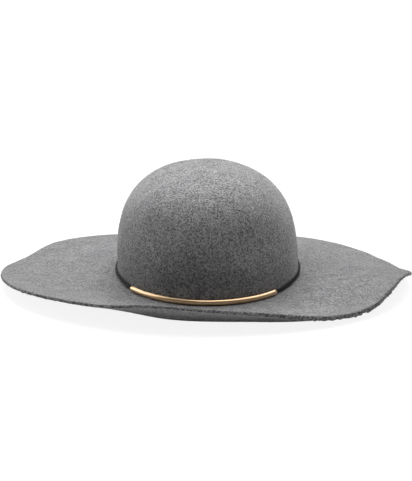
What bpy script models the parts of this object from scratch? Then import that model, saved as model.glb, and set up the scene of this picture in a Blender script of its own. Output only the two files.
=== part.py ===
"""Felt sun hat: a round open crown and a wide floppy brim in one blocked piece of wool felt.

A flat lace runs round the foot of the crown and through a curved brass tube at the front.
Metres, +Z up, the front towards -Y. The hat rests on the floor, z = 0, and the origin is at the
middle of the brim's footprint. Angles go round the crown in degrees: 0 is +X, 90 the back.
"""

import bisect
import math

import bmesh
import bpy
from mathutils import Matrix, Vector

# Felt body
HEAD_WIDTH = 0.1665
HEAD_LENGTH = 0.1980
CROWN_HEIGHT = 0.1004
CROWN_FULLNESS = 2.75
CROWN_TILT = math.radians(6.2)
CROWN_LEAN = 0.027
FELT_THICKNESS = 0.0026
FLOOR_PRESS = 0.0002
BREAK_RADIUS = 0.0032
BRIM_WIDTH = 0.1080

# Lace and tube
LACE_WIDTH = 0.0040
LACE_THICKNESS = 0.0011
LACE_ROUNDING = 0.0003
LACE_LIFT = 0.75
LACE_EASE = 0.022
CLEARANCE = 0.0003
BORE_CLEARANCE = 0.0002
TUBE_WALL = 0.0004
TUBE_BORE = math.hypot(LACE_WIDTH, LACE_THICKNESS) + 2 * BORE_CLEARANCE
TUBE_DIAMETER = TUBE_BORE + 2 * TUBE_WALL
TUBE_LENGTH = 0.1540
TUBE_MIDDLE = 265.5

# Mesh resolution
TURN_STEPS = 72
CROWN_ROWS = 13
BREAK_ROWS = 4
BRIM_ROWS = 10
LACE_STEPS = 96
TUBE_STEPS = 26
TUBE_BEVEL_RESOLUTION = 6
WALK_STEPS = 720
WELD_DISTANCE = 0.00001

# One row for each bend of the brim. reach is the brim's width there as a share of BRIM_WIDTH.
# inner, outer and rim are how high the brim is lifted off the floor, one third and two thirds of the
# way out and at the cut edge, as shares of BRIM_WIDTH. Below 0 it is pressed flat on the floor.
BEND_LIFTS = ("inner", "outer", "rim")
BRIM_BENDS = (
    {"angle": 0, "reach": 0.99, "inner": 0.11, "outer": 0.11, "rim": 0.08},
    {"angle": 20, "reach": 0.98, "inner": 0.12, "outer": 0.06, "rim": -0.01},
    {"angle": 40, "reach": 0.97, "inner": 0.14, "outer": 0.08, "rim": 0.02},
    {"angle": 62, "reach": 0.965, "inner": 0.16, "outer": 0.10, "rim": 0.04},
    {"angle": 90, "reach": 0.96, "inner": 0.18, "outer": 0.10, "rim": -0.01},
    {"angle": 118, "reach": 0.955, "inner": 0.17, "outer": 0.12, "rim": 0.07},
    {"angle": 140, "reach": 0.97, "inner": 0.14, "outer": 0.12, "rim": 0.10},
    {"angle": 157, "reach": 0.99, "inner": 0.11, "outer": 0.08, "rim": 0.05},
    {"angle": 175, "reach": 1.02, "inner": 0.08, "outer": 0.06, "rim": 0.08},
    {"angle": 200, "reach": 1.00, "inner": 0.04, "outer": 0.07, "rim": 0.12},
    {"angle": 225, "reach": 0.96, "inner": 0.01, "outer": 0.08, "rim": 0.16},
    {"angle": 243, "reach": 0.955, "inner": 0.00, "outer": 0.08, "rim": 0.18},
    {"angle": 257, "reach": 0.955, "inner": 0.00, "outer": 0.05, "rim": 0.22},
    {"angle": 280, "reach": 0.96, "inner": 0.00, "outer": 0.03, "rim": 0.17},
    {"angle": 302, "reach": 1.005, "inner": 0.00, "outer": -0.01, "rim": 0.075},
    {"angle": 316, "reach": 1.01, "inner": 0.03, "outer": 0.00, "rim": 0.08},
    {"angle": 336, "reach": 0.99, "inner": 0.09, "outer": 0.12, "rim": 0.21},
)


def through_points(places, values, place):
    """The value at a place on a smooth curve through four points, between the middle two."""
    span = places[2] - places[1]
    s = (place - places[1]) / span
    slope_in = (values[2] - values[0]) / (places[2] - places[0]) * span
    slope_out = (values[3] - values[1]) / (places[3] - places[1]) * span
    return (
        (2 * s**3 - 3 * s**2 + 1) * values[1]
        + (s**3 - 2 * s**2 + s) * slope_in
        + (3 * s**2 - 2 * s**3) * values[2]
        + (s**3 - s**2) * slope_out
    )


def bend_at(angle, column):
    """A column of BRIM_BENDS at an angle from 0 to 360, on a smooth closed curve through its rows."""
    around = [(row["angle"] + turn, row[column]) for turn in (-360, 0, 360) for row in BRIM_BENDS]
    places = [place for place, _ in around]
    after = bisect.bisect_right(places, angle)
    picked = around[after - 2 : after + 2]
    return through_points([p for p, _ in picked], [v for _, v in picked], angle)


def foot_point(angle, out=0.0, height=0.0, share=1.0):
    """A point in the crown's own frame, at an angle round the oval of the crown's foot.

    out is how far it is outside the oval, height how far above the foot, and share shrinks the oval.
    """
    half_width = HEAD_WIDTH / 2 + FELT_THICKNESS
    half_length = HEAD_LENGTH / 2 + FELT_THICKNESS
    turn = math.radians(angle)
    normal = Vector((half_length * math.cos(turn), half_width * math.sin(turn), 0)).normalized()
    on_oval = Vector((half_width * math.cos(turn), half_length * math.sin(turn), 0)) * share
    lean = Vector((-CROWN_LEAN * height, 0, height))
    return on_oval + normal * out + lean


def crown_frame():
    """Where the crown's foot stands: tipped forward until the felt at its front lies on the floor."""
    lift = FELT_THICKNESS + (HEAD_LENGTH / 2 + FELT_THICKNESS) * math.sin(CROWN_TILT)
    return Matrix.Translation((0, 0, lift)) @ Matrix.Rotation(CROWN_TILT, 4, "X")


def brim_height(angle, out):
    """Height of the brim's upper face over the crown's foot plane, out from the foot's oval."""
    reach = bend_at(angle, "reach") * BRIM_WIDTH
    parts = len(BEND_LIFTS)
    foot = crown_frame()
    heights = [0.0]
    for i, column in enumerate(BEND_LIFTS, 1):
        over_floor = FELT_THICKNESS + bend_at(angle, column) * BRIM_WIDTH
        level = foot @ foot_point(angle, out=reach * i / parts)
        heights.append((over_floor - level.z) / math.cos(CROWN_TILT))
    before = 2 * heights[0] - heights[1]
    beyond = 2 * heights[-1] - heights[-2]
    heights = [before, *heights, beyond]
    places = range(-1, parts + 2)
    place = min(out / reach, 1) * parts
    first = min(int(place), parts - 1)
    return through_points(places[first : first + 4], heights[first : first + 4], place)


def felt_point(row, angle):
    """A point of the felt's outer and upper face, at a row counted down from the top of the crown."""
    if row < CROWN_ROWS:
        turn = math.radians(90) * (1 - row / CROWN_ROWS)
        rise = math.sin(turn) ** (2 / CROWN_FULLNESS)
        share = math.cos(turn) ** (2 / CROWN_FULLNESS)
        height = BREAK_RADIUS + rise * (CROWN_HEIGHT - BREAK_RADIUS)
        return foot_point(angle, height=height, share=share)
    row -= CROWN_ROWS
    if row <= BREAK_ROWS:
        t = row / BREAK_ROWS
        height = (1 - t) ** 2 * BREAK_RADIUS + t * t * brim_height(angle, BREAK_RADIUS)
        return foot_point(angle, out=t * t * BREAK_RADIUS, height=height)
    row -= BREAK_ROWS
    reach = bend_at(angle, "reach") * BRIM_WIDTH
    out = BREAK_RADIUS + (reach - BREAK_RADIUS) * row / BRIM_ROWS
    return foot_point(angle, out=out, height=brim_height(angle, out))


def corner_distance():
    """How far the tube's centreline lies out from the crown's wall and up from the brim."""
    return TUBE_DIAMETER / 2 + CLEARANCE


def angle_along(start, length):
    """The angle a length away from a start angle, walking along the tube's path."""
    step = math.copysign(360 / WALK_STEPS, length)
    angle = start
    walked = 0.0
    while walked < abs(length):
        before = foot_point(angle, out=corner_distance())
        angle += step
        walked += (foot_point(angle, out=corner_distance()) - before).length
    return angle


def lace_point(angle, tube_share):
    """A point of the lace's centreline: flat on the wall, or inside the tube where tube_share is 1."""
    wall_out = LACE_THICKNESS / 2 + CLEARANCE
    out = wall_out + (corner_distance() - wall_out) * tube_share
    on_wall = LACE_WIDTH / 2 + BREAK_RADIUS * LACE_LIFT
    over_brim = corner_distance() + brim_height(angle % 360, out)
    height = on_wall + (over_brim - on_wall) * tube_share
    return crown_frame() @ foot_point(angle, out=out, height=height)


def smooth_step(value):
    """0 below 0, 1 above 1 and a smooth rise between."""
    t = min(max(value, 0), 1)
    return t * t * (3 - 2 * t)


def material(name, colour, roughness, metallic=0.0):
    """A plain Principled material."""
    made = bpy.data.materials.new(name)
    made.use_nodes = True
    shader = made.node_tree.nodes["Principled BSDF"]
    shader.inputs["Base Color"].default_value = (*colour, 1)
    shader.inputs["Roughness"].default_value = roughness
    shader.inputs["Metallic"].default_value = metallic
    return made


def new_object(name, data, collection):
    """An object of a collection."""
    made = bpy.data.objects.new(name, data)
    collection.objects.link(made)
    return made


def thickened(sheet, thickness):
    """Adds a wall's thickness on the inner side of a sheet."""
    wall = sheet.modifiers.new("wall", "SOLIDIFY")
    wall.thickness = thickness
    wall.offset = -1
    wall.use_even_offset = True


def as_mesh(made, name):
    """The object with its modifiers and bevels applied, as a welded mesh under a new name."""
    bpy.context.view_layer.update()
    graph = bpy.context.evaluated_depsgraph_get()
    mesh = bpy.data.meshes.new_from_object(made.evaluated_get(graph))
    shape = bmesh.new()
    shape.from_mesh(mesh)
    bmesh.ops.remove_doubles(shape, verts=shape.verts, dist=WELD_DISTANCE)
    bmesh.ops.recalc_face_normals(shape, faces=shape.faces)
    shape.to_mesh(mesh)
    shape.free()
    mesh.shade_smooth()
    collection = made.users_collection[0]
    bpy.data.objects.remove(made)
    return new_object(name, mesh, collection)


def lofted(rings, top):
    """An open mesh through closed rings of points, closed at the first ring by a fan to one point."""
    shape = bmesh.new()
    pole = shape.verts.new(top)
    rows = [[shape.verts.new(point) for point in ring] for ring in rings]
    for i in range(TURN_STEPS):
        after = (i + 1) % TURN_STEPS
        shape.faces.new((pole, rows[0][i], rows[0][after]))
        for upper, lower in zip(rows, rows[1:]):
            shape.faces.new((upper[i], lower[i], lower[after], upper[after]))
    mesh = bpy.data.meshes.new("felt_sheet")
    shape.to_mesh(mesh)
    shape.free()
    return mesh


def felt_body(collection):
    """Crown and brim: the outer face is lofted, thickened inwards and pressed flat on the floor."""
    angles = [360 * i / TURN_STEPS for i in range(TURN_STEPS)]
    last = CROWN_ROWS + BREAK_ROWS + BRIM_ROWS
    foot = crown_frame()
    rings = [[foot @ felt_point(row, angle) for angle in angles] for row in range(1, last + 1)]
    for ring in rings:
        for point in ring:
            point.z = max(point.z, FELT_THICKNESS)
    top = foot @ foot_point(0, height=CROWN_HEIGHT, share=0)
    sheet = new_object("felt_sheet", lofted(rings, top), collection)
    thickened(sheet, FELT_THICKNESS)
    made = as_mesh(sheet, "felt_body")
    for vertex in made.data.vertices:
        if vertex.co.z < FLOOR_PRESS:
            vertex.co.z = 0
    made.data.materials.append(material("grey_felt", (0.30, 0.30, 0.31), 0.95))
    return made


def tube_ends():
    """The angles at the two ends of the tube."""
    return angle_along(TUBE_MIDDLE, -TUBE_LENGTH / 2), angle_along(TUBE_MIDDLE, TUBE_LENGTH / 2)


def path_curve(points, name, closed):
    """A curve object's data through points, straight from one to the next."""
    curve = bpy.data.curves.new(name, "CURVE")
    curve.dimensions = "3D"
    curve.twist_mode = "Z_UP"
    spline = curve.splines.new("POLY")
    spline.points.add(len(points) - 1)
    for point, place in zip(spline.points, points):
        point.co = (*place, 1)
    spline.use_cyclic_u = closed
    return curve


def cord_band(collection, profiles):
    """The flat lace: a rounded rectangle swept along its closed path round the crown's foot."""
    start, end = tube_ends()
    ease = math.degrees(LACE_EASE / (HEAD_WIDTH / 2))
    points = []
    for i in range(LACE_STEPS):
        angle = TUBE_MIDDLE + 360 * i / LACE_STEPS - 180
        beyond = max(start - angle, angle - end)
        points.append(lace_point(angle, 1 - smooth_step(beyond / ease)))
    x, y = LACE_THICKNESS / 2, LACE_WIDTH / 2
    near_x, near_y = x - LACE_ROUNDING, y - LACE_ROUNDING
    outline = [(x, near_y, 0), (near_x, y, 0), (-near_x, y, 0), (-x, near_y, 0)]
    outline += [(-x, -near_y, 0), (-near_x, -y, 0), (near_x, -y, 0), (x, -near_y, 0)]
    profile = new_object("lace_profile", path_curve(outline, "lace_profile", True), profiles)
    profile.data.dimensions = "2D"
    profile.hide_render = True
    profile.display_type = "WIRE"
    lace = path_curve(points, "lace_path", True)
    lace.bevel_mode = "OBJECT"
    lace.bevel_object = profile
    made = as_mesh(new_object("lace_path", lace, collection), "cord_band")
    made.data.materials.append(material("black_leather", (0.02, 0.02, 0.02), 0.7))
    return made


def bar_tube(collection):
    """The brass tube: a round bevel along the lace's path, open at its ends, thickened inwards."""
    start, end = tube_ends()
    points = [lace_point(start + (end - start) * i / TUBE_STEPS, 1) for i in range(TUBE_STEPS + 1)]
    tube = path_curve(points, "tube_path", False)
    tube.bevel_depth = TUBE_DIAMETER / 2
    tube.bevel_resolution = TUBE_BEVEL_RESOLUTION
    tube.use_fill_caps = False
    sleeve = as_mesh(new_object("tube_path", tube, collection), "tube_sleeve")
    thickened(sleeve, TUBE_WALL)
    made = as_mesh(sleeve, "bar_tube")
    made.data.materials.append(material("brass", (0.60, 0.42, 0.22), 0.3, 1))
    return made


def build():
    """Clears the scene, makes the hat and puts the middle of its footprint on the origin."""
    for old in list(bpy.data.objects):
        bpy.data.objects.remove(old)
    collection = bpy.data.collections.new("felt_sun_hat")
    profiles = bpy.data.collections.new("profiles")
    bpy.context.scene.collection.children.link(collection)
    bpy.context.scene.collection.children.link(profiles)
    felt = felt_body(collection)
    pieces = (felt, cord_band(collection, profiles), bar_tube(collection))
    places = [vertex.co.copy() for vertex in felt.data.vertices]
    middle = Vector([(min(p[i] for p in places) + max(p[i] for p in places)) / 2 for i in (0, 1)] + [0])
    for piece in pieces:
        piece.data.transform(Matrix.Translation(-middle))


build()
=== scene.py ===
"""The looks of a grey felt sun hat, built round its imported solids.

Metres and degrees. +Z is up, the front of the hat is towards -Y and the floor is z = 0. Angles go
round the crown: 0 is +X, 90 is the back, 270 the front.
"""

import logging
import math
from collections.abc import Sequence
from dataclasses import dataclass
from enum import Enum
from functools import reduce

import bpy
import numpy as np
from mathutils import Matrix, Vector, noise


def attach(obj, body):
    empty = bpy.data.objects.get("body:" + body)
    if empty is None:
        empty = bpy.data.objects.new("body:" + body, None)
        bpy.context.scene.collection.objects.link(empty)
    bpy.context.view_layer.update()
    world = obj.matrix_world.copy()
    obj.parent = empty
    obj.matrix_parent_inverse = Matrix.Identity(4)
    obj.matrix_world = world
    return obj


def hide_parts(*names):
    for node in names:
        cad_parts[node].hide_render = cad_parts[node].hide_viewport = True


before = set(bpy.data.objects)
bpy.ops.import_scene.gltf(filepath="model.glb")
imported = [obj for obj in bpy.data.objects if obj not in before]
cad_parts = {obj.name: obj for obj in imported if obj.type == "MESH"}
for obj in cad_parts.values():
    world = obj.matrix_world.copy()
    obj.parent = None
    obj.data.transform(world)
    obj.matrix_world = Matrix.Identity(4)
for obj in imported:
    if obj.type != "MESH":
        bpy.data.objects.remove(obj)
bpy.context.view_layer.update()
BODY = "root"
LOG = logging.getLogger("felt_sun_hat")

Colour = tuple[float, float, float]


class Slot(Enum):
    """The record's material slots."""

    FELT = "grey_felt"
    LACE = "black_leather"
    TUBE = "brass"


class Wool(Enum):
    """The two shades of loose wool fibre on the felt."""

    LIGHT = "light"
    DARK = "dark"


# Shapes


def eased(value: np.ndarray | float) -> np.ndarray:
    """0 below 0, 1 above 1 and a smooth rise between."""
    t = np.clip(value, 0.0, 1.0)
    return t * t * (3 - 2 * t)


def aside(angle: np.ndarray, middle: float) -> np.ndarray:
    """How far each angle is from a middle one, from -180 to 180."""
    return np.mod(angle - middle + 180, 360) - 180


def unit(vectors: np.ndarray) -> np.ndarray:
    """The vectors at length 1."""
    return vectors / np.maximum(np.linalg.norm(vectors, axis=-1, keepdims=True), 1e-12)


def square_to(along: np.ndarray, up: np.ndarray) -> tuple[np.ndarray, np.ndarray]:
    """The outward and the upward direction square to each step of a path."""
    out = unit(np.cross(unit(along), up))
    return out, np.cross(out, unit(along))


def smooth_through(places: np.ndarray, values: np.ndarray, place: np.ndarray) -> np.ndarray:
    """A smooth curve through four points, read between its middle two.

    Args:
        places: Four rows of places.
        values: Four rows of the values there.
        place: Where to read, between rows 1 and 2.

    Returns:
        The values at those places.
    """
    span = places[2] - places[1]
    s = (place - places[1]) / span
    slope_in = (values[2] - values[0]) / (places[2] - places[0]) * span
    slope_out = (values[3] - values[1]) / (places[3] - places[1]) * span
    rise = 3 * s**2 - 2 * s**3
    ends = (1 - rise) * values[1] + rise * values[2]
    return ends + (s**3 - 2 * s**2 + s) * slope_in + (s**3 - s**2) * slope_out


@dataclass(frozen=True)
class Ripple:
    """Smooth noise: the size of one wave, its seed, and its share where ripples add up."""

    size: float
    seed: float
    share: float = 1.0


def rippled(points: np.ndarray, *ripples: Ripple) -> np.ndarray:
    """Adds up smooth noise.

    Args:
        points: Points in metres.
        *ripples: The ripples.

    Returns:
        One number for each point, from -1 to 1 where a ripple has its whole share.
    """
    total = np.zeros(points.shape[:-1])
    for ripple in ripples:
        shift = Vector((ripple.seed, 2 * ripple.seed, 3 * ripple.seed))
        heights = [noise.noise(Vector(point) / ripple.size + shift) for point in points.reshape(-1, 3)]
        total += ripple.share * np.reshape(heights, total.shape)
    return total


@dataclass(frozen=True)
class Crown:
    """The round crown on its oval foot, tipped a little towards the front."""

    head_width: float = 0.1665
    head_length: float = 0.1980
    height: float = 0.1004
    fullness: float = 2.75
    tilt: float = 6.2
    lean: float = 0.027
    felt: float = 0.0026
    middle: tuple[float, float] = (0.001668, 0.000226)

    def halves(self) -> tuple[float, float]:
        """Half the width and half the length of the foot's oval."""
        return self.head_width / 2 + self.felt, self.head_length / 2 + self.felt

    def stand(self) -> Matrix:
        """Where the foot stands: tipped until the felt at its front lies on the floor.

        Returns:
            The move from the crown's own frame to the hat's.
        """
        tilt = math.radians(self.tilt)
        lift = self.felt + self.halves()[1] * math.sin(tilt)
        return Matrix.Translation((*self.middle, lift)) @ Matrix.Rotation(tilt, 4, "X")

    def placed(self, points: np.ndarray) -> np.ndarray:
        """Points of the crown's own frame, moved to where the hat stands."""
        stand = np.array(self.stand())
        return points @ stand[:3, :3].T + stand[:3, 3]

    def up(self) -> np.ndarray:
        """The crown's own upward direction."""
        return np.array(self.stand())[:3, 2]

    def outward(self, angle: np.ndarray) -> np.ndarray:
        """The direction square to the foot's oval.

        Args:
            angle: Angles round the crown.

        Returns:
            One direction for each angle, in the crown's own frame.
        """
        half_width, half_length = self.halves()
        turn = np.radians(angle)
        square = np.stack([half_length * np.cos(turn), half_width * np.sin(turn), 0 * turn], axis=-1)
        return unit(square)

    def foot(
        self,
        angle: np.ndarray,
        out: np.ndarray | float = 0.0,
        height: np.ndarray | float = 0.0,
        share: float = 1.0,
    ) -> np.ndarray:
        """Points round the oval of the foot, in the crown's own frame.

        Args:
            angle: Angles round the crown.
            out: How far outside the oval.
            height: How far above the foot.
            share: How much of the oval's size.

        Returns:
            One point for each angle.
        """
        half_width, half_length = self.halves()
        turn = np.radians(angle)
        out, height = np.broadcast_to(out, turn.shape), np.broadcast_to(height, turn.shape)
        oval = np.stack([half_width * np.cos(turn), half_length * np.sin(turn), 0 * turn], axis=-1)
        lean = np.stack([-self.lean * height, 0 * height, height], axis=-1)
        return oval * share + self.outward(angle) * out[..., None] + lean


@dataclass(frozen=True)
class Bend:
    """One bend of the brim: its reach and its lifts off the floor, as shares of the brim's width."""

    angle: float
    reach: float
    inner: float
    outer: float
    rim: float


BENDS = (
    Bend(0, 0.99, 0.11, 0.11, 0.08),
    Bend(20, 0.98, 0.12, 0.06, -0.01),
    Bend(40, 0.97, 0.14, 0.08, 0.02),
    Bend(62, 0.965, 0.16, 0.10, 0.04),
    Bend(90, 0.96, 0.18, 0.10, -0.01),
    Bend(118, 0.955, 0.17, 0.12, 0.07),
    Bend(140, 0.97, 0.14, 0.12, 0.10),
    Bend(157, 0.99, 0.11, 0.08, 0.05),
    Bend(175, 1.02, 0.08, 0.06, 0.08),
    Bend(200, 1.00, 0.04, 0.07, 0.12),
    Bend(225, 0.96, 0.01, 0.08, 0.16),
    Bend(243, 0.955, 0.00, 0.08, 0.18),
    Bend(257, 0.955, 0.00, 0.05, 0.22),
    Bend(280, 0.96, 0.00, 0.03, 0.17),
    Bend(302, 1.005, 0.00, -0.01, 0.075),
    Bend(316, 1.01, 0.03, 0.00, 0.08),
    Bend(336, 0.99, 0.09, 0.12, 0.21),
)


@dataclass(frozen=True)
class Brim:
    """The wide brim, bent up and down on its way round."""

    crown: Crown
    width: float = 0.1080
    break_radius: float = 0.0032
    bends: tuple[Bend, ...] = BENDS

    def bend(self, angle: np.ndarray, shares: Sequence[float]) -> np.ndarray:
        """A smooth closed curve through one share of every bend.

        Args:
            angle: Angles round the crown.
            shares: The share at each bend.

        Returns:
            The share at each angle.
        """
        places = np.array([bend.angle + turn for turn in (-360, 0, 360) for bend in self.bends])
        values = np.tile(shares, 3)
        after = np.searchsorted(places, np.mod(angle, 360), side="right")
        picked = np.stack([after - 2, after - 1, after, after + 1])
        return smooth_through(places[picked], values[picked], np.mod(angle, 360))

    def reach(self, angle: np.ndarray) -> np.ndarray:
        """How far the brim stands out from the foot's oval at each angle."""
        return self.bend(angle, [bend.reach for bend in self.bends]) * self.width

    def height(self, angle: np.ndarray, out: np.ndarray | float) -> np.ndarray:
        """The upper face's height over the foot.

        Args:
            angle: Angles round the crown.
            out: How far out from the foot's oval.

        Returns:
            The height at each angle, in the crown's own frame.
        """
        reach = self.reach(angle)
        lifts = list(zip(*((bend.inner, bend.outer, bend.rim) for bend in self.bends)))
        parts = len(lifts)
        heights = [np.zeros_like(reach)]
        for i, shares in enumerate(lifts, 1):
            over_floor = self.crown.felt + self.bend(angle, shares) * self.width
            level = self.crown.placed(self.crown.foot(angle, out=reach * i / parts))[..., 2]
            heights.append((over_floor - level) / math.cos(math.radians(self.crown.tilt)))
        heights = [2 * heights[0] - heights[1], *heights, 2 * heights[-1] - heights[-2]]
        table = np.stack(heights)
        place = np.minimum(out / reach, 1) * parts
        first = np.minimum(place.astype(int), parts - 1)
        picked = np.stack([first, first + 1, first + 2, first + 3])
        return smooth_through(picked - 1.0, np.take_along_axis(table, picked, axis=0), place)


@dataclass(frozen=True)
class Dent:
    """A soft dent of the crown, left by the hand that shapes it."""

    angle: float
    height: float
    width: float
    tall: float
    depth: float


DENTS = (
    Dent(296, 0.052, 20.0, 0.017, 0.0034),
    Dent(237, 0.058, 15.0, 0.017, 0.0026),
    Dent(263, 0.021, 18.0, 0.012, 0.0016),
    Dent(322, 0.048, 16.0, 0.016, 0.0010),
)


@dataclass(frozen=True)
class Fray:
    """A stretch of the cut edge where the felt is thicker and more frayed."""

    angle: float
    width: float
    lip: float
    ragged: float


FRAYS = (
    Fray(310, 26.0, 0.0018, 0.0003),
    Fray(216, 22.0, 0.0005, 0.0006),
)


def new_mesh(name: str, points: np.ndarray, *face_sets: np.ndarray) -> bpy.types.Object:
    """A smooth mesh object in the scene.

    Args:
        name: The piece's name.
        points: Its points.
        *face_sets: The points of each face, one face a row.

    Returns:
        The new object.
    """
    faces = [face for faces in face_sets for face in faces.tolist()]
    mesh = bpy.data.meshes.new(name)
    mesh.from_pydata(points.reshape(-1, 3).tolist(), [], faces)
    mesh.validate()
    mesh.shade_smooth()
    made = bpy.data.objects.new(name, mesh)
    bpy.context.scene.collection.objects.link(made)
    return made


def ring_faces(rows: int, steps: int, closed: bool = False) -> np.ndarray:
    """Four-sided faces between closed rings of points.

    Args:
        rows: How many rings.
        steps: How many points a ring has.
        closed: Whether the last ring joins the first.

    Returns:
        The faces, one a row.
    """
    row = np.arange(rows if closed else rows - 1)[:, None]
    step = np.arange(steps)[None, :]
    after_row, after_step = (row + 1) % rows, (step + 1) % steps
    corners = [row * steps + step, after_row * steps + step, after_row * steps + after_step]
    corners.append(row * steps + after_step)
    return np.stack(corners, axis=-1).reshape(-1, 4)


def finished(piece: bpy.types.Object, slot: Slot, *nodes: str) -> bpy.types.Object:
    """Lets a piece ride on the hat and hides the solids that it stands for.

    Args:
        piece: The piece.
        slot: Its material slot; not used.
        *nodes: The solids that it stands for.

    Returns:
        The same piece.
    """
    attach(piece, BODY)
    if nodes:
        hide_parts(*nodes)
    return piece


# Finishes


class Value:
    """A socket of some nodes that takes part in sums."""

    def __init__(self, nodes: "Nodes", socket: bpy.types.NodeSocket) -> None:
        """Keeps the socket and the nodes that it belongs to."""
        self.nodes = nodes
        self.socket = socket

    def _sum(self, operation: str, first: "Value | float", second: "Value | float") -> "Value":
        """A Math node on two values."""
        return self.nodes.node("ShaderNodeMath", {"operation": operation}, {0: first, 1: second})

    def __add__(self, other: "Value | float") -> "Value":
        """This plus the other."""
        return self._sum("ADD", self, other)

    __radd__ = __add__

    def __sub__(self, other: "Value | float") -> "Value":
        """This less the other."""
        return self._sum("SUBTRACT", self, other)

    def __rsub__(self, other: "Value | float") -> "Value":
        """The other less this."""
        return self._sum("SUBTRACT", other, self)

    def __mul__(self, other: "Value | float") -> "Value":
        """This times the other."""
        return self._sum("MULTIPLY", self, other)

    __rmul__ = __mul__

    def greater(self, other: "Value | float") -> "Value":
        """The larger of this and the other."""
        return self._sum("MAXIMUM", self, other)

    def between(self, low: float, high: float, first: float = 0.0, last: float = 1.0) -> "Value":
        """First where this is low, last where it is high, with a smooth change between."""
        sockets = {0: self, 1: low, 2: high, 3: first, 4: last}
        return self.nodes.node("ShaderNodeMapRange", {"interpolation_type": "SMOOTHSTEP"}, sockets)


class Nodes:
    """The nodes of a material or of the surroundings, written as sums of their values."""

    def __init__(self, tree: bpy.types.NodeTree) -> None:
        """Keeps the tree that the nodes go into."""
        self.tree = tree

    def feed(self, socket: bpy.types.NodeSocket, value: "Value | float | tuple") -> None:
        """Links a value into a socket, or sets a plain number or colour on it.

        Args:
            socket: The socket.
            value: What goes into it.
        """
        if isinstance(value, Value):
            self.tree.links.new(value.socket, socket)
        elif isinstance(value, tuple) and len(value) < len(socket.default_value):
            socket.default_value = (*value, 1.0)
        else:
            socket.default_value = value

    def node(
        self,
        kind: str,
        settings: dict[str, object] | None = None,
        sockets: dict | None = None,
        output: int | str = 0,
    ) -> Value:
        """Adds a node.

        Args:
            kind: The node's type.
            settings: Its own settings, such as an operation, set first.
            sockets: Values or links for its inputs, by name or number.
            output: Which of its outputs to hand back.

        Returns:
            The output.
        """
        made = self.tree.nodes.new(kind)
        for name, value in (settings or {}).items():
            setattr(made, name, value)
        for name, value in (sockets or {}).items():
            self.feed(made.inputs[name], value)
        return Value(self, made.outputs[output])


@dataclass(frozen=True)
class Spots:
    """Soft noise: so many spots to the metre, how finely they break up, and how much they count.

    Where ends is given, a spot begins at the first of those two noise values and is full at the other.
    """

    scale: float
    detail: float
    share: float
    ends: tuple[float, float] | None = None


@dataclass(frozen=True)
class Streak:
    """Short streaks: how many to the metre side by side and end to end, and three turns of their lie."""

    across: float
    along: float
    turn: tuple[float, float, float]


# Where a Mix node has its colour sockets, two in and one out, and the middle of a noise
MIX_FIRST, MIX_SECOND, MIX_RESULT = 6, 7, 2
NOISE_MIDDLE = 0.5


class Shade(Nodes):
    """One material."""

    def __init__(self, name: str) -> None:
        """Makes the material with its one plain shader.

        Args:
            name: The material's name.
        """
        self.material = bpy.data.materials.new(name)
        self.material.use_nodes = True
        super().__init__(self.material.node_tree)
        self.shader = self.tree.nodes["Principled BSDF"]

    def place(self) -> Value:
        """Where a point is on the hat."""
        return self.node("ShaderNodeTexCoord", output="Object")

    def speckle(self, scale: float, detail: float = 2.0, at: Value | None = None) -> Value:
        """Soft noise from 0 to 1, with so many spots to the metre."""
        sockets = {"Vector": at or self.place(), "Scale": scale, "Detail": detail}
        return self.node("ShaderNodeTexNoise", None, sockets)

    def spots(self, spots: Spots) -> Value:
        """The spots' noise, from 0 to 1."""
        made = self.speckle(spots.scale, spots.detail)
        return made.between(*spots.ends) if spots.ends else made

    def shift(self, spots: Spots, made: Value | None = None) -> Value:
        """How much the spots shift a tone up or down, from their noise where it is made already."""
        return ((made or self.spots(spots)) - NOISE_MIDDLE) * spots.share

    def streaks(self, several: tuple[Streak, ...]) -> Value:
        """Noise drawn out into short streaks.

        Args:
            several: The streaks, of which the strongest shows.

        Returns:
            The noise, from 0 to 1.
        """
        made = []
        for streak in several:
            angles = tuple(math.radians(angle) for angle in streak.turn)
            size = (1 / streak.along, 1 / streak.across, 1 / streak.across)
            sockets = {"Vector": self.place(), "Rotation": angles, "Scale": size}
            turned = self.node("ShaderNodeMapping", {"vector_type": "TEXTURE"}, sockets)
            made.append(self.speckle(scale=1.0, detail=1.0, at=turned))
        return reduce(Value.greater, made)

    def mix(self, factor: Value | float, first: Colour, second: Colour) -> Value:
        """The first colour where the factor is 0 and the second where it is 1."""
        sockets = {0: factor, MIX_FIRST: first, MIX_SECOND: second}
        return self.node("ShaderNodeMix", {"data_type": "RGBA"}, sockets, MIX_RESULT)

    def bump(self, height: Value, depth: float, strength: float = 1.0) -> Value:
        """A relief of that depth in metres."""
        sockets = {"Height": height, "Distance": depth, "Strength": strength}
        return self.node("ShaderNodeBump", None, sockets)

    def dress(self, **sockets: "Value | float | tuple") -> bpy.types.Material:
        """Sets the shader's sockets.

        Args:
            **sockets: Their values, named with _ for a space.

        Returns:
            The material.
        """
        for name, value in sockets.items():
            self.feed(self.shader.inputs[name.replace("_", " ")], value)
        return self.material


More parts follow.
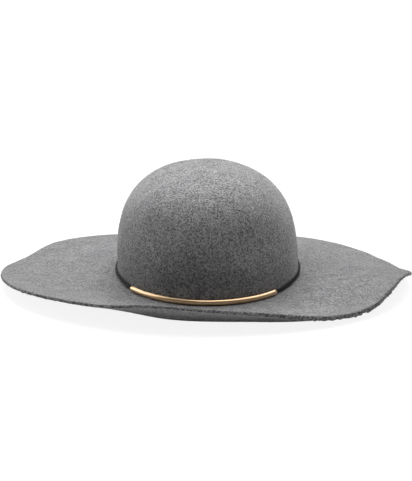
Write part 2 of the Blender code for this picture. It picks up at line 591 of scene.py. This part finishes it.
@dataclass(frozen=True)
class HeatheredFelt:
    """Wool felt of light and dark fibres matted together."""

    name: str = "heathered_grey_felt"
    dark: Colour = (0.040, 0.040, 0.042)
    light: Colour = (0.54, 0.535, 0.54)
    middle: float = 0.36
    tufts: Spots = Spots(620, 1.0, 0.37, (0.34, 0.66))
    clumps: Spots = Spots(240, 1.0, 0.09, (0.30, 0.70))
    grain: Spots = Spots(1300, 2.0, 0.6)
    cloud: Spots = Spots(90, 3.0, 0.26)
    broad: Spots = Spots(22, 2.0, 0.14)
    pale: tuple[Streak, ...] = (
        Streak(1100, 260, (0, 0, 15)),
        Streak(1100, 260, (0, 70, 100)),
        Streak(1000, 240, (50, 20, 60)),
    )
    pale_ends: tuple[float, float] = (0.60, 0.78)
    pale_share: float = 0.25
    deep: tuple[Streak, ...] = (Streak(1000, 240, (0, 0, 130)), Streak(1000, 240, (80, 60, 20)))
    deep_ends: tuple[float, float] = (0.58, 0.76)
    deep_share: float = 0.22
    sheen: float = 0.45
    relief: float = 0.0005
    relief_shares: tuple[float, float, float] = (0.4, 0.5, 0.3)

    def material(self) -> bpy.types.Material:
        """Builds the felt's material.

        Returns:
            The material.
        """
        shade = Shade(self.name)
        pale = shade.streaks(self.pale).between(*self.pale_ends)
        deep = shade.streaks(self.deep).between(*self.deep_ends)
        tufts, grain = shade.spots(self.tufts), shade.spots(self.grain)
        tone = shade.shift(self.tufts, tufts) + shade.shift(self.clumps) + shade.shift(self.grain, grain)
        tone = tone + shade.shift(self.cloud) + shade.shift(self.broad)
        tone = tone + pale * self.pale_share - deep * self.deep_share + self.middle
        on_spots, on_pale, on_deep = self.relief_shares
        relief = tufts * on_spots + grain * on_spots + pale * on_pale - deep * on_deep
        return shade.dress(
            Base_Color=shade.mix(tone, self.dark, self.light),
            Roughness=0.95,
            Specular_IOR_Level=0.15,
            Sheen_Weight=self.sheen,
            Sheen_Roughness=0.45,
            Sheen_Tint=(0.85, 0.85, 0.87),
            Normal=shade.bump(relief, self.relief, strength=0.8),
        )


@dataclass(frozen=True)
class CutFeltPaintedShade:
    """The raw cut edge, coloured darker than the felt as painted shade on the edge, which faces away from
    the overhead light.
    """

    name: str = "cut_felt_edge_painted_shade"
    # Both colours are darker than the felt's: painted shade on the cut edge
    dark: Colour = (0.016, 0.016, 0.017)
    light: Colour = (0.33, 0.325, 0.325)
    tufts: Spots = Spots(420, 3.0, 0.6, (0.35, 0.72))
    grain: Spots = Spots(1600, 2.0, 0.35)
    relief: float = 0.0006
    grain_relief: float = 0.5

    def material(self) -> bpy.types.Material:
        """Builds the cut edge's material, with its painted shade.

        Returns:
            The material.
        """
        shade = Shade(self.name)
        tufts, grain = shade.spots(self.tufts), shade.spots(self.grain)
        tone = tufts * self.tufts.share + grain * self.grain.share
        return shade.dress(
            Base_Color=shade.mix(tone, self.dark, self.light),
            Roughness=1.0,
            Specular_IOR_Level=0.1,
            Sheen_Weight=0.15,
            Normal=shade.bump(tufts + grain * self.grain_relief, self.relief),
        )


WOOL_TINTS = {Wool.LIGHT: (0.62, 0.62, 0.63), Wool.DARK: (0.05, 0.05, 0.055)}


@dataclass(frozen=True)
class WoolFibre:
    """A loose fibre that stands off the felt."""

    wool: Wool
    spots: float = 300
    paler: float = 1.35

    def material(self) -> bpy.types.Material:
        """Builds the fibre's material.

        Returns:
            The material.
        """
        shade = Shade(f"{self.wool.value}_wool")
        tint = WOOL_TINTS[self.wool]
        pale = tuple(min(1.0, channel * self.paler) for channel in tint)
        return shade.dress(
            Base_Color=shade.mix(shade.speckle(self.spots), tint, pale),
            Roughness=0.7,
            Specular_IOR_Level=0.25,
            Sheen_Weight=0.2,
        )


@dataclass(frozen=True)
class BlackLeather:
    """Matt black leather with a fine grain and scuffed places."""

    name: str = "black_leather_lace"
    base: Colour = (0.009, 0.009, 0.010)
    worn: Colour = (0.030, 0.029, 0.028)
    scuffs: Spots = Spots(260, 3.0, 0.7, (0.45, 0.75))
    roughness: float = 0.48
    scuffed: float = 0.15
    pores: float = 2200.0
    pore_width: float = 0.25
    pore_depth: float = 0.00008

    def material(self) -> bpy.types.Material:
        """Builds the leather's material.

        Returns:
            The material.
        """
        shade = Shade(self.name)
        sockets = {"Vector": shade.place(), "Scale": self.pores}
        pores = shade.node("ShaderNodeTexVoronoi", {"feature": "DISTANCE_TO_EDGE"}, sockets)
        worn = shade.spots(self.scuffs)
        return shade.dress(
            Base_Color=shade.mix(worn * self.scuffs.share, self.base, self.worn),
            Roughness=worn * self.scuffed + self.roughness,
            Specular_IOR_Level=0.3,
            Normal=shade.bump(pores.between(0.0, self.pore_width), self.pore_depth, strength=0.7),
        )


@dataclass(frozen=True)
class SatinBrass:
    """Pale brass, rubbed to a satin along the tube."""

    name: str = "satin_brass"
    base: Colour = (0.82, 0.54, 0.28)
    dull: Colour = (0.62, 0.39, 0.19)
    handled: Spots = Spots(60, 3.0, 0.2, (0.40, 0.75))
    tarnish: Spots = Spots(340, 4.0, 0.2, (0.52, 0.85))
    roughness: float = 0.28
    handled_roughness: float = 0.05
    tarnish_roughness: float = 0.04

    def material(self) -> bpy.types.Material:
        """Builds the brass's material.

        Returns:
            The material.
        """
        shade = Shade(self.name)
        handled, tarnish = shade.spots(self.handled), shade.spots(self.tarnish)
        dulled = tarnish * self.tarnish.share + handled * self.handled.share
        rubbed = handled * self.handled_roughness + tarnish * self.tarnish_roughness
        return shade.dress(
            Base_Color=shade.mix(dulled, self.base, self.dull),
            Metallic=1.0,
            Roughness=rubbed + self.roughness,
            Coat_Weight=1.0,
            Coat_Roughness=0.20,
            Coat_IOR=1.9,
        )


# Sub-assemblies


@dataclass
class FeltBody:
    """Crown and brim as one wall of felt with a raw cut edge."""

    brim: Brim
    dents: tuple[Dent, ...] = DENTS
    frays: tuple[Fray, ...] = FRAYS
    steps: int = 600
    crown_rows: int = 30
    break_rows: int = 6
    brim_rows: int = 30
    rim_crowding: float = 1.35
    edge_rows: int = 4
    floor_press: float = 0.0002
    # The faint unevenness of the faces, which starts away from the lace
    uneven: tuple[Ripple, ...] = (Ripple(0.040, 3.1), Ripple(0.016, 7.7, 0.5))
    soft_dents: float = 0.0005
    brim_share: float = 0.7
    clear_of_lace: float = 0.012
    clear_share: float = 0.6
    # The cut edge: how ragged it is, and how much thicker than the felt its lip is
    ragged: float = 0.0003
    nicks: tuple[Ripple, ...] = (Ripple(0.0045, 1.3), Ripple(0.0019, 5.9, 0.8))
    tears: tuple[Ripple, ...] = (Ripple(0.0040, 4.4), Ripple(0.0017, 8.1, 0.8))
    wander: Ripple = Ripple(0.030, 9.2)
    rough: Ripple = Ripple(0.0022, 11.0, 0.8)
    bulge: float = 0.9
    lip: float = 0.0002
    torn_lip: float = 0.6
    inner_lip: float = 0.7

    def angles(self) -> np.ndarray:
        """The angles of the mesh's steps round the hat."""
        return np.arange(self.steps) * 360 / self.steps

    def dented(self, points: np.ndarray, angle: np.ndarray, height: float) -> np.ndarray:
        """A ring of the crown with its soft dents pressed in.

        Args:
            points: The ring's points, in the crown's own frame.
            angle: Their angles.
            height: The ring's height over the foot.

        Returns:
            The points, moved inwards.
        """
        depth = np.zeros_like(angle)
        for dent in self.dents:
            across = aside(angle, dent.angle) / dent.width
            depth += dent.depth * np.exp(-(across**2) - ((height - dent.height) / dent.tall) ** 2)
        return points - self.brim.crown.outward(angle) * depth[:, None]

    def upper_rings(self) -> np.ndarray:
        """The outer and upper face, from the top of the crown out to the cut edge.

        Returns:
            Its rings of points.
        """
        crown, brim, angle = self.brim.crown, self.brim, self.angles()
        rings = []
        for row in range(1, self.crown_rows):
            turn = math.radians(90) * (1 - row / self.crown_rows)
            rise = math.sin(turn) ** (2 / crown.fullness)
            share = math.cos(turn) ** (2 / crown.fullness)
            height = brim.break_radius + rise * (crown.height - brim.break_radius)
            rings.append(self.dented(crown.foot(angle, height=height, share=share), angle, height))
        for t in np.linspace(0, 1, self.break_rows + 1):
            low = brim.height(angle, brim.break_radius)
            height = (1 - t) ** 2 * brim.break_radius + t * t * low
            rings.append(crown.foot(angle, out=t * t * brim.break_radius, height=height))
        for step in range(1, self.brim_rows + 1):
            t = 1 - (1 - step / self.brim_rows) ** self.rim_crowding
            out = brim.break_radius + (brim.reach(angle) - brim.break_radius) * t
            rings.append(crown.foot(angle, out=out, height=brim.height(angle, out)))
        placed = crown.placed(np.stack(rings))
        placed[..., 2] = np.maximum(placed[..., 2], crown.felt)
        return placed

    def square(self, rings: np.ndarray) -> np.ndarray:
        """The direction square to the face.

        Args:
            rings: The face's rings of points.

        Returns:
            One direction for each point.
        """
        round_hat = np.roll(rings, -1, axis=1) - np.roll(rings, 1, axis=1)
        down = np.gradient(rings, axis=0)
        return unit(np.cross(down, round_hat))

    def softened(self, rings: np.ndarray, normals: np.ndarray) -> np.ndarray:
        """The face with the faint unevenness of hand-blocked felt, none of it by the lace.

        Args:
            rings: The face's rings of points.
            normals: The directions square to it.

        Returns:
            The rings, moved a little.
        """
        first_brim = self.crown_rows - 1 + self.break_rows
        foot = rings[first_brim - self.break_rows]
        away = np.linalg.norm(rings - foot[None], axis=-1) / self.clear_of_lace
        swell = rippled(rings, *self.uneven) * eased(away - self.clear_share) * self.soft_dents
        swell *= np.where(np.arange(len(rings)) < first_brim, 1.0, self.brim_share)[:, None]
        return rings + normals * swell[..., None]

    def fray(self) -> tuple[np.ndarray, np.ndarray]:
        """The cut edge's state at each step.

        Returns:
            How much thicker than the felt it is, and how ragged.
        """
        angle = self.angles()
        lip, ragged = np.full_like(angle, self.lip), np.full_like(angle, self.ragged)
        for fray in self.frays:
            across = aside(angle, fray.angle) / fray.width
            lip += fray.lip * np.exp(-(across**2))
            ragged += fray.ragged * np.exp(-(across**2))
        return lip, ragged

    def cut(
        self, upper: np.ndarray, lower: np.ndarray, normals: np.ndarray
    ) -> tuple[np.ndarray, np.ndarray, np.ndarray]:
        """Cuts the felt at the rim, a little unevenly.

        Args:
            upper: The upper face's rings.
            lower: The lower face's rings.
            normals: The directions square to the upper face.

        Returns:
            The upper rings, the lower rings and the rings of the cut face between them.
        """
        lip, ragged = self.fray()
        out = unit(upper[-1] - upper[-2])
        nicks, wander = rippled(upper[-1], *self.nicks), rippled(upper[-1], self.wander)
        upper[-1] += out * (ragged * (nicks + wander))[:, None]
        tears = rippled(lower[-1], *self.tears)
        lower[-1] += out * (ragged * (tears + wander))[:, None]
        lip = lip * (1 + self.torn_lip * tears)
        lower[-1] -= normals[-1] * lip[:, None]
        lower[-2] -= normals[-2] * (self.inner_lip * lip)[:, None]
        rings = []
        for row in range(1, self.edge_rows + 1):
            t = row / (self.edge_rows + 1)
            ring = upper[-1] * (1 - t) + lower[-1] * t
            rough = rippled(ring, Ripple(self.rough.size, self.rough.seed + row, self.rough.share))
            bulge = self.bulge * math.sin(math.pi * t) + rough
            rings.append(ring + out * (ragged * bulge)[:, None])
        edge = np.stack(rings)
        for ring in (upper, lower, edge):
            ring[..., 2] = np.maximum(ring[..., 2], 0.0)
        return upper, lower, edge

    def caps(self, rows: int) -> np.ndarray:
        """The fans of faces that close the crown over its top, outside and inside.

        Args:
            rows: How many rings the felt has.

        Returns:
            The faces, one a row. The top's outer and inner point come after the rings' points.
        """
        step = np.arange(self.steps)
        after = (step + 1) % self.steps
        top, last = np.full_like(step, rows * self.steps), (rows - 1) * self.steps
        outside = np.stack([top, step, after], axis=-1)
        inside = np.stack([top + 1, last + after, last + step], axis=-1)
        return np.stack([outside, inside], axis=1).reshape(-1, 3)

    def build(self) -> bpy.types.Object:
        """Makes the felt's mesh and dresses it.

        Returns:
            The piece.
        """
        crown = self.brim.crown
        upper = self.upper_rings()
        normals = self.square(upper)
        lower = upper - normals * crown.felt
        upper = self.softened(upper, normals)
        lower[..., 2] = np.where(lower[..., 2] < self.floor_press, 0.0, lower[..., 2])
        upper, lower, edge = self.cut(upper, lower, normals)
        rings = np.concatenate([upper, edge, lower[::-1]])
        top = crown.placed(np.array([crown.foot(np.zeros(1), height=crown.height, share=0.0)[0]]))[0]
        tops = np.stack([top, top - crown.up() * crown.felt])
        points = np.concatenate([rings.reshape(-1, 3), tops])
        faces = ring_faces(len(rings), self.steps)
        made = new_mesh("felt_hat", points, faces, self.caps(len(rings)))
        for finish in (HeatheredFelt(), CutFeltPaintedShade()):
            made.data.materials.append(finish.material())
        row_of_face = np.zeros(len(made.data.polygons), int)
        row_of_face[: len(faces)] = np.arange(len(faces)) // self.steps
        on_edge = (row_of_face >= len(upper)) & (row_of_face < len(upper) + len(edge))
        # The cut edge's faces take the darker edge material, which paints shade on them
        made.data.polygons.foreach_set("material_index", on_edge.astype(np.int32))
        made.data.update()
        return finished(made, Slot.FELT, "felt_body")


@dataclass
class CornerPath:
    """The way of the lace and the tube along the corner between crown and brim."""

    brim: Brim
    lace_width: float = 0.0040
    lace_thickness: float = 0.0011
    lace_lift: float = 0.75
    ease: float = 0.022
    clearance: float = 0.0003
    bore_clearance: float = 0.0002
    wall: float = 0.0004
    tube_middle: float = 265.5
    tube_angles: tuple[float, float] = (218.0, 314.0)

    def tube_radius(self) -> float:
        """Half the tube's diameter, which lets the lace through."""
        bore = math.hypot(self.lace_width, self.lace_thickness) + 2 * self.bore_clearance
        return bore / 2 + self.wall

    def points(self, angle: np.ndarray, tube_share: np.ndarray | float) -> np.ndarray:
        """The lace's centreline.

        Args:
            angle: Angles round the crown.
            tube_share: 0 where the lace lies flat on the wall and 1 where it is inside the tube.

        Returns:
            One point for each angle.
        """
        corner = self.tube_radius() + self.clearance
        wall_out = self.lace_thickness / 2 + self.clearance
        out = wall_out + (corner - wall_out) * tube_share
        out = np.broadcast_to(out, angle.shape)
        on_wall = self.lace_width / 2 + self.brim.break_radius * self.lace_lift
        over_brim = corner + self.brim.height(angle, out)
        height = on_wall + (over_brim - on_wall) * tube_share
        crown = self.brim.crown
        return crown.placed(crown.foot(angle, out=out, height=height))

    def tube_share(self, angle: np.ndarray) -> np.ndarray:
        """1 inside the tube, easing to 0 where the lace lies on the wall.

        Args:
            angle: Angles round the crown.

        Returns:
            The share at each angle.
        """
        start, end = self.tube_angles
        ease = math.degrees(self.ease / (self.brim.crown.head_width / 2))
        return 1 - eased(np.maximum(start - angle, angle - end) / ease)


@dataclass
class Lace:
    """The flat leather lace round the foot of the crown."""

    path: CornerPath
    steps: int = 720
    corner_steps: int = 4
    face_steps: int = 7
    rounding: float = 0.00035
    dome: float = 0.00025
    width: float = 0.0034
    turned_up: float = 13.0
    turned_by_tube: float = 10.0
    sag: float = 0.0012

    def outline(self) -> np.ndarray:
        """The lace's outline, with rounded edges and a domed outer face.

        Returns:
            Its points, as offsets along the thickness and the width.
        """
        x, y = self.path.lace_thickness / 2, self.width / 2
        centres = [(x, y), (-x, y), (-x, -y), (x, -y)]
        points = []
        for quarter, (cx, cy) in enumerate(centres):
            inner = np.array([cx - math.copysign(self.rounding, cx), cy - math.copysign(self.rounding, cy)])
            for i in range(self.corner_steps + 1):
                turn = math.radians(90) * (quarter + i / self.corner_steps)
                points.append(inner + self.rounding * np.array([math.cos(turn), math.sin(turn)]))
        near = y - self.rounding
        for place in np.linspace(-1, 1, self.face_steps + 2)[1:-1]:
            points.append(np.array([x + self.dome * (1 - place**2), near * place]))
        return np.array(points)

    def sections(self, angle: np.ndarray) -> np.ndarray:
        """The outline round the crown, its lower edge turned up off the wall to lie on the brim.

        Args:
            angle: Angles round the crown.

        Returns:
            For each angle, the outline's points as outward and upward offsets.
        """
        outline = self.outline()
        loose = 1 - self.path.tube_share(angle)
        # Greatest halfway between the tube's right end and the wall
        easing = 4 * loose * (1 - loose) * (angle > self.path.tube_middle)
        turn = np.radians(self.turned_up * loose + self.turned_by_tube * easing)[:, None]
        half = self.path.lace_width / 2
        thick, below = outline[None, :, 0], outline[None, :, 1] - half
        out = thick * np.cos(turn) - below * np.sin(turn)
        rise = thick * np.sin(turn) + below * np.cos(turn) + half - self.sag * loose[:, None]
        return np.stack([out, rise], axis=-1)

    def build(self) -> bpy.types.Object:
        """Makes the lace and dresses it.

        Returns:
            The piece.
        """
        angle = self.path.tube_middle - 180 + np.arange(self.steps) * 360 / self.steps
        centre = self.path.points(angle, self.path.tube_share(angle))
        along = np.roll(centre, -1, axis=0) - np.roll(centre, 1, axis=0)
        out, rise = square_to(along, self.path.brim.crown.up())
        section = self.sections(angle)
        rings = centre[:, None] + out[:, None] * section[..., :1] + rise[:, None] * section[..., 1:]
        made = new_mesh("leather_lace", rings, ring_faces(len(rings), section.shape[1], True))
        made.data.materials.append(BlackLeather().material())
        return finished(made, Slot.LACE, "cord_band")


@dataclass
class BrassTube:
    """The curved tube that the lace runs through, with softly rounded lips."""

    path: CornerPath
    length_steps: int = 180
    round_steps: int = 40
    lip_steps: int = 6

    def stations(self) -> tuple[np.ndarray, np.ndarray, np.ndarray]:
        """The tube's rings: outside, round the far lip, back along the bore and round the near lip.

        Returns:
            The rings' middles, their radii and the direction of the tube at each.
        """
        angle = np.linspace(*self.path.tube_angles, self.length_steps)
        centre = self.path.points(angle, np.ones_like(angle))
        middle, half = self.path.tube_radius() - self.path.wall / 2, self.path.wall / 2
        ends = unit(centre[0] - centre[1]), unit(centre[-1] - centre[-2])
        lip = np.linspace(0, math.pi, self.lip_steps)[1:-1]
        outer = [(point, middle + half) for point in centre]
        far = [(centre[-1] + ends[1] * half * math.sin(t), middle + half * math.cos(t)) for t in lip]
        inner = [(point, middle - half) for point in centre[::-1]]
        near = [(centre[0] + ends[0] * half * math.sin(t), middle - half * math.cos(t)) for t in lip]
        places, radii = zip(*(outer + far + inner + near))
        run = np.gradient(centre, axis=0)
        far_run, near_run = np.repeat(run[-1:], len(far), 0), np.repeat(run[:1], len(near), 0)
        return np.array(places), np.array(radii), np.concatenate([run, far_run, run[::-1], near_run])

    def build(self) -> bpy.types.Object:
        """Makes the tube and dresses it.

        Returns:
            The piece.
        """
        places, radii, along = self.stations()
        out, rise = square_to(along, self.path.brim.crown.up())
        turn = np.linspace(0, 2 * math.pi, self.round_steps, endpoint=False)
        circle = np.stack([np.cos(turn), np.sin(turn)], axis=-1)
        ring = out[:, None] * circle[None, :, :1] + rise[:, None] * circle[None, :, 1:]
        rings = places[:, None] + radii[:, None, None] * ring
        made = new_mesh("brass_tube", rings, ring_faces(len(rings), self.round_steps, True))
        made.data.materials.append(SatinBrass().material())
        return finished(made, Slot.TUBE, "bar_tube")


@dataclass
class Nap:
    """Loose wool fibres that stand off the felt and fray its cut edge."""

    felt: bpy.types.Object
    brim: Brim
    wool: Wool
    count: int = 13000
    seed: int = 11
    # Where they grow: shares of what grows elsewhere, and places left bare
    edge_share: float = 0.22
    under_share: float = 0.35
    inside_share: float = 0.3
    steep: float = 0.3
    bare_floor: float = 0.0005
    bare_by_lace: float = 0.0085
    oval_step: float = 2.0
    lace_ends: tuple[float, float] = (-0.11, 0.11)
    lace_tops: tuple[float, float] = (0.012, 0.036)
    # One fibre: lengths in metres, lifts in radians
    length: tuple[float, float] = (0.0012, 0.0036)
    edge_length: float = 0.5
    radius: float = 0.000035
    taper: tuple[float, float, float] = (1.0, 0.9, 0.35)
    sides: tuple[float, float, float] = (90, 210, 330)
    root: float = 2.0
    lift: tuple[float, float] = (0.02, 0.30)
    edge_lift: float = 0.45
    tip_lift: float = 0.4
    curl: float = 0.5

    def read(self, name: str, width: int = 1, kind: type = float) -> np.ndarray:
        """Reads one property of the felt's faces.

        Args:
            name: The property's name.
            width: How many numbers it has.
            kind: Their type.

        Returns:
            One row for each face, or one number where the width is 1.
        """
        faces = self.felt.data.polygons
        values = np.zeros(len(faces) * width, kind)
        faces.foreach_get(name, values)
        return values.reshape(-1, width) if width > 1 else values

    def odds(self, centres: np.ndarray, normals: np.ndarray, areas: np.ndarray) -> np.ndarray:
        """How likely a fibre grows from each face of the felt.

        Args:
            centres: The faces' middles.
            normals: The directions square to them.
            areas: Their areas.

        Returns:
            The odds, which add up to 1.
        """
        crown = self.brim.crown
        oval = crown.placed(crown.foot(np.arange(0, 360, self.oval_step)))
        near = np.min(np.linalg.norm(centres[:, None, :2] - oval[None, :, :2], axis=-1), axis=1)
        low = centres[:, 2] < np.interp(centres[:, 1], self.lace_ends, self.lace_tops)
        inside = (centres * normals)[:, :2].sum(axis=1) < 0
        weight = areas * np.where((near < self.bare_by_lace) & low, 0.0, 1.0)
        under = np.where(normals[:, 2] < -self.steep, self.under_share, 1.0)
        weight *= under * np.where(inside & (normals[:, 2] < self.steep), self.inside_share, 1.0)
        weight *= np.where(centres[:, 2] < self.bare_floor, 0.0, 1.0)
        on_edge = self.read("material_index", kind=np.int32) == 1
        body, edge = np.where(on_edge, 0.0, weight), np.where(on_edge, areas, 0.0)
        return (1 - self.edge_share) * body / body.sum() + self.edge_share * edge / edge.sum()

    def roots(self, rng: np.random.Generator) -> tuple[np.ndarray, np.ndarray, np.ndarray]:
        """Picks where the fibres grow.

        Args:
            rng: The source of chance.

        Returns:
            The roots, the directions square to the felt there, and which are on the cut edge.
        """
        centres, normals, areas = self.read("center", 3), self.read("normal", 3), self.read("area")
        picked = rng.choice(len(areas), self.count, p=self.odds(centres, normals, areas))
        spread = np.sqrt(areas[picked])[:, None] * rng.uniform(-0.5, 0.5, (self.count, 3))
        square = normals[picked]
        spread -= square * (spread * square).sum(axis=1, keepdims=True)
        on_edge = self.read("material_index", kind=np.int32)[picked] == 1
        return centres[picked] + spread, square, on_edge

    def spines(self, rng: np.random.Generator) -> tuple[np.ndarray, np.ndarray]:
        """Lays the fibres along the felt.

        Args:
            rng: The source of chance.

        Returns:
            Three points for each fibre, and the directions square to the felt at their roots.
        """
        roots, square, on_edge = self.roots(rng)
        across = rng.normal(size=(self.count, 3))
        flat = unit(across - square * (across * square).sum(axis=1, keepdims=True))
        length = rng.uniform(*self.length, self.count) * np.where(on_edge, self.edge_length, 1.0)
        lift = rng.uniform(*self.lift, self.count) + np.where(on_edge, self.edge_lift, 0.0)
        curl = np.cross(square, flat) * rng.uniform(-self.curl, self.curl, self.count)[:, None]
        half = length[:, None] * 0.5
        bends = roots + half * (flat * np.cos(lift)[:, None] + square * np.sin(lift)[:, None])
        lift = lift * self.tip_lift
        tips = bends + half * (unit(flat + curl) * np.cos(lift)[:, None] + square * np.sin(lift)[:, None])
        spine = np.stack([roots - square * self.radius * self.root, bends, tips], axis=1)
        spine[..., 2] = np.maximum(spine[..., 2], 2 * self.radius)
        return spine, square

    def fibre_faces(self) -> list[tuple[int, int, int]]:
        """The faces of one fibre: its two ends and its three sides between three rings.

        Returns:
            Three points a face, of the fibre's nine.
        """
        faces = [(0, 2, 1), (6, 7, 8)]
        for low in (0, 3):
            for i in range(3):
                j = (i + 1) % 3
                faces += [(low + i, low + j, low + 3 + j), (low + i, low + 3 + j, low + 3 + i)]
        return faces

    def build(self) -> bpy.types.Object:
        """Makes all fibres of one shade as one mesh.

        Returns:
            The piece.
        """
        spine, square = self.spines(np.random.default_rng(self.seed + (self.wool is Wool.DARK)))
        along = spine[:, 2] - spine[:, 0]
        across = unit(np.cross(unit(along), square))
        stand = unit(np.cross(across, along))
        turn = np.radians(self.sides)
        ring = across[:, None, None] * np.cos(turn)[None, None, :, None]
        ring = ring + stand[:, None, None] * np.sin(turn)[None, None, :, None]
        wide = np.array(self.taper) * self.radius
        points = spine[:, :, None] + ring * wide[None, :, None, None]
        first = spine.shape[1] * len(turn) * np.arange(self.count)
        faces = np.array(self.fibre_faces())[None] + first[:, None, None]
        made = new_mesh(f"felt_nap_{self.wool.value}", points, faces.reshape(-1, 3))
        made.data.materials.append(WoolFibre(self.wool).material())
        return finished(made, Slot.FELT)


# Studio


@dataclass(frozen=True)
class SoftLight:
    """A broad light far away."""

    name: str
    azimuth: float
    elevation: float
    spread: float
    strength: float

    def build(self) -> None:
        """Hangs the light."""
        lamp = bpy.data.lights.new(self.name, "SUN")
        lamp.energy = self.strength
        lamp.angle = math.radians(self.spread)
        made = bpy.data.objects.new(self.name, lamp)
        turn, rise = math.radians(self.azimuth), math.radians(self.elevation)
        towards = Vector((math.sin(turn) * math.cos(rise), -math.cos(turn) * math.cos(rise), math.sin(rise)))
        made.rotation_euler = (-towards).to_track_quat("-Z", "Y").to_euler()
        bpy.context.scene.collection.objects.link(made)


@dataclass(frozen=True)
class NearLamp:
    """A soft lamp that hangs close over the crown."""

    name: str = "near_lamp"
    height: float = 0.24
    radius: float = 0.05
    watts: float = 0.50

    def build(self) -> None:
        """Hangs the lamp, out of the camera's sight."""
        lamp = bpy.data.lights.new(self.name, "POINT")
        lamp.energy = self.watts
        lamp.shadow_soft_size = self.radius
        made = bpy.data.objects.new(self.name, lamp)
        made.location = (0, 0, self.height)
        made.visible_camera = False
        bpy.context.scene.collection.objects.link(made)


@dataclass
class Studio:
    """Floor, lights, surroundings and camera."""

    lights: tuple[SoftLight, ...] = (
        SoftLight("overhead", 180, 62, 50, 3.02),
        SoftLight("left", 255, 30, 50, 0.98),
        SoftLight("right", 105, 30, 50, 0.12),
        SoftLight("high_right", 90, 60, 50, 0.62),
        SoftLight("over_front", 0, 82, 27, 0.44),
    )
    near_lamp: NearLamp = NearLamp()
    floor_half: float = 15.0
    floor_colour: Colour = (0.17, 0.17, 0.17)
    floor_glow: float = 0.88
    bounce_colour: Colour = (0.70, 0.70, 0.70)
    bounce_depth: float = 0.0005
    # The surroundings darken between two heights, where 1 is straight up, from one light to the other
    wall_heights: tuple[float, float] = (0.10, 0.30)
    wall_light: tuple[float, float] = (0.10, 0.05)
    aim: tuple[float, float, float] = (-0.0002, 0.0, 0.0415)
    distance: float = 2.400
    elevation: float = 12.0
    lens: float = 189.1
    sensor: float = 36.0
    clip: tuple[float, float] = (0.01, 100.0)

    def sheet(self, name: str, level: float, colour: Colour, glow: float) -> bpy.types.Object:
        """A plain pale sheet as wide as the studio.

        Args:
            name: The sheet's name.
            level: Its height.
            colour: Its colour.
            glow: How strongly it glows by itself.

        Returns:
            The new object.
        """
        half = self.floor_half
        corners = [(x, y, level) for x, y in ((-half, -half), (half, -half), (half, half), (-half, half))]
        made = new_mesh(name, np.array(corners), np.array([[0, 1, 2, 3]]))
        finish = Shade(name).dress(
            Base_Color=colour, Roughness=1.0, Emission_Color=(1, 1, 1), Emission_Strength=glow
        )
        made.data.materials.append(finish)
        return made

    def floor(self) -> None:
        """The floor as it is seen, lit from below, over the one that sends light back up."""
        seen = self.sheet("floor", 0.0, self.floor_colour, self.floor_glow)
        seen.visible_diffuse = False
        seen.visible_glossy = False
        seen.visible_shadow = False
        under = self.sheet("floor_under", -self.bounce_depth, self.bounce_colour, 0.0)
        under.visible_camera = False

    def surroundings(self) -> None:
        """A dim wall all round at the horizon, darker above."""
        world = bpy.data.worlds.new("studio")
        bpy.context.scene.world = world
        world.use_nodes = True
        nodes = Nodes(world.node_tree)
        where = nodes.node("ShaderNodeTexCoord", output="Generated")
        height = nodes.node("ShaderNodeSeparateXYZ", None, {0: where}, "Z")
        background = world.node_tree.nodes["Background"]
        nodes.feed(background.inputs["Strength"], height.between(*self.wall_heights, *self.wall_light))
        nodes.feed(background.inputs["Color"], (1, 1, 1))

    def camera(self) -> None:
        """The camera at the photograph's angle."""
        data = bpy.data.cameras.new("camera")
        data.lens, data.sensor_width = self.lens, self.sensor
        data.clip_start, data.clip_end = self.clip
        made = bpy.data.objects.new("camera", data)
        rise = math.radians(self.elevation)
        back = Vector((0, -math.cos(rise), math.sin(rise)))
        made.location = Vector(self.aim) + back * self.distance
        made.rotation_euler = (-back).to_track_quat("-Z", "Y").to_euler()
        bpy.context.scene.collection.objects.link(made)
        bpy.context.scene.camera = made

    def build(self) -> None:
        """Sets up the whole studio."""
        self.camera()
        self.floor()
        self.surroundings()
        for light in (*self.lights, self.near_lamp):
            light.build()
        bpy.context.scene.view_settings.view_transform = "Standard"


def main() -> None:
    """Builds the studio, then the hat's pieces in order."""
    logging.basicConfig(level=logging.INFO, format="%(name)s: %(message)s")
    Studio().build()
    brim = Brim(Crown())
    path = CornerPath(brim)
    felt = FeltBody(brim).build()
    LOG.info("%s: %d faces", felt.name, len(felt.data.polygons))
    for part in (Lace(path), BrassTube(path), Nap(felt, brim, Wool.LIGHT), Nap(felt, brim, Wool.DARK)):
        piece = part.build()
        LOG.info("%s: %d faces", piece.name, len(piece.data.polygons))


if __name__ == "__main__":
    main()
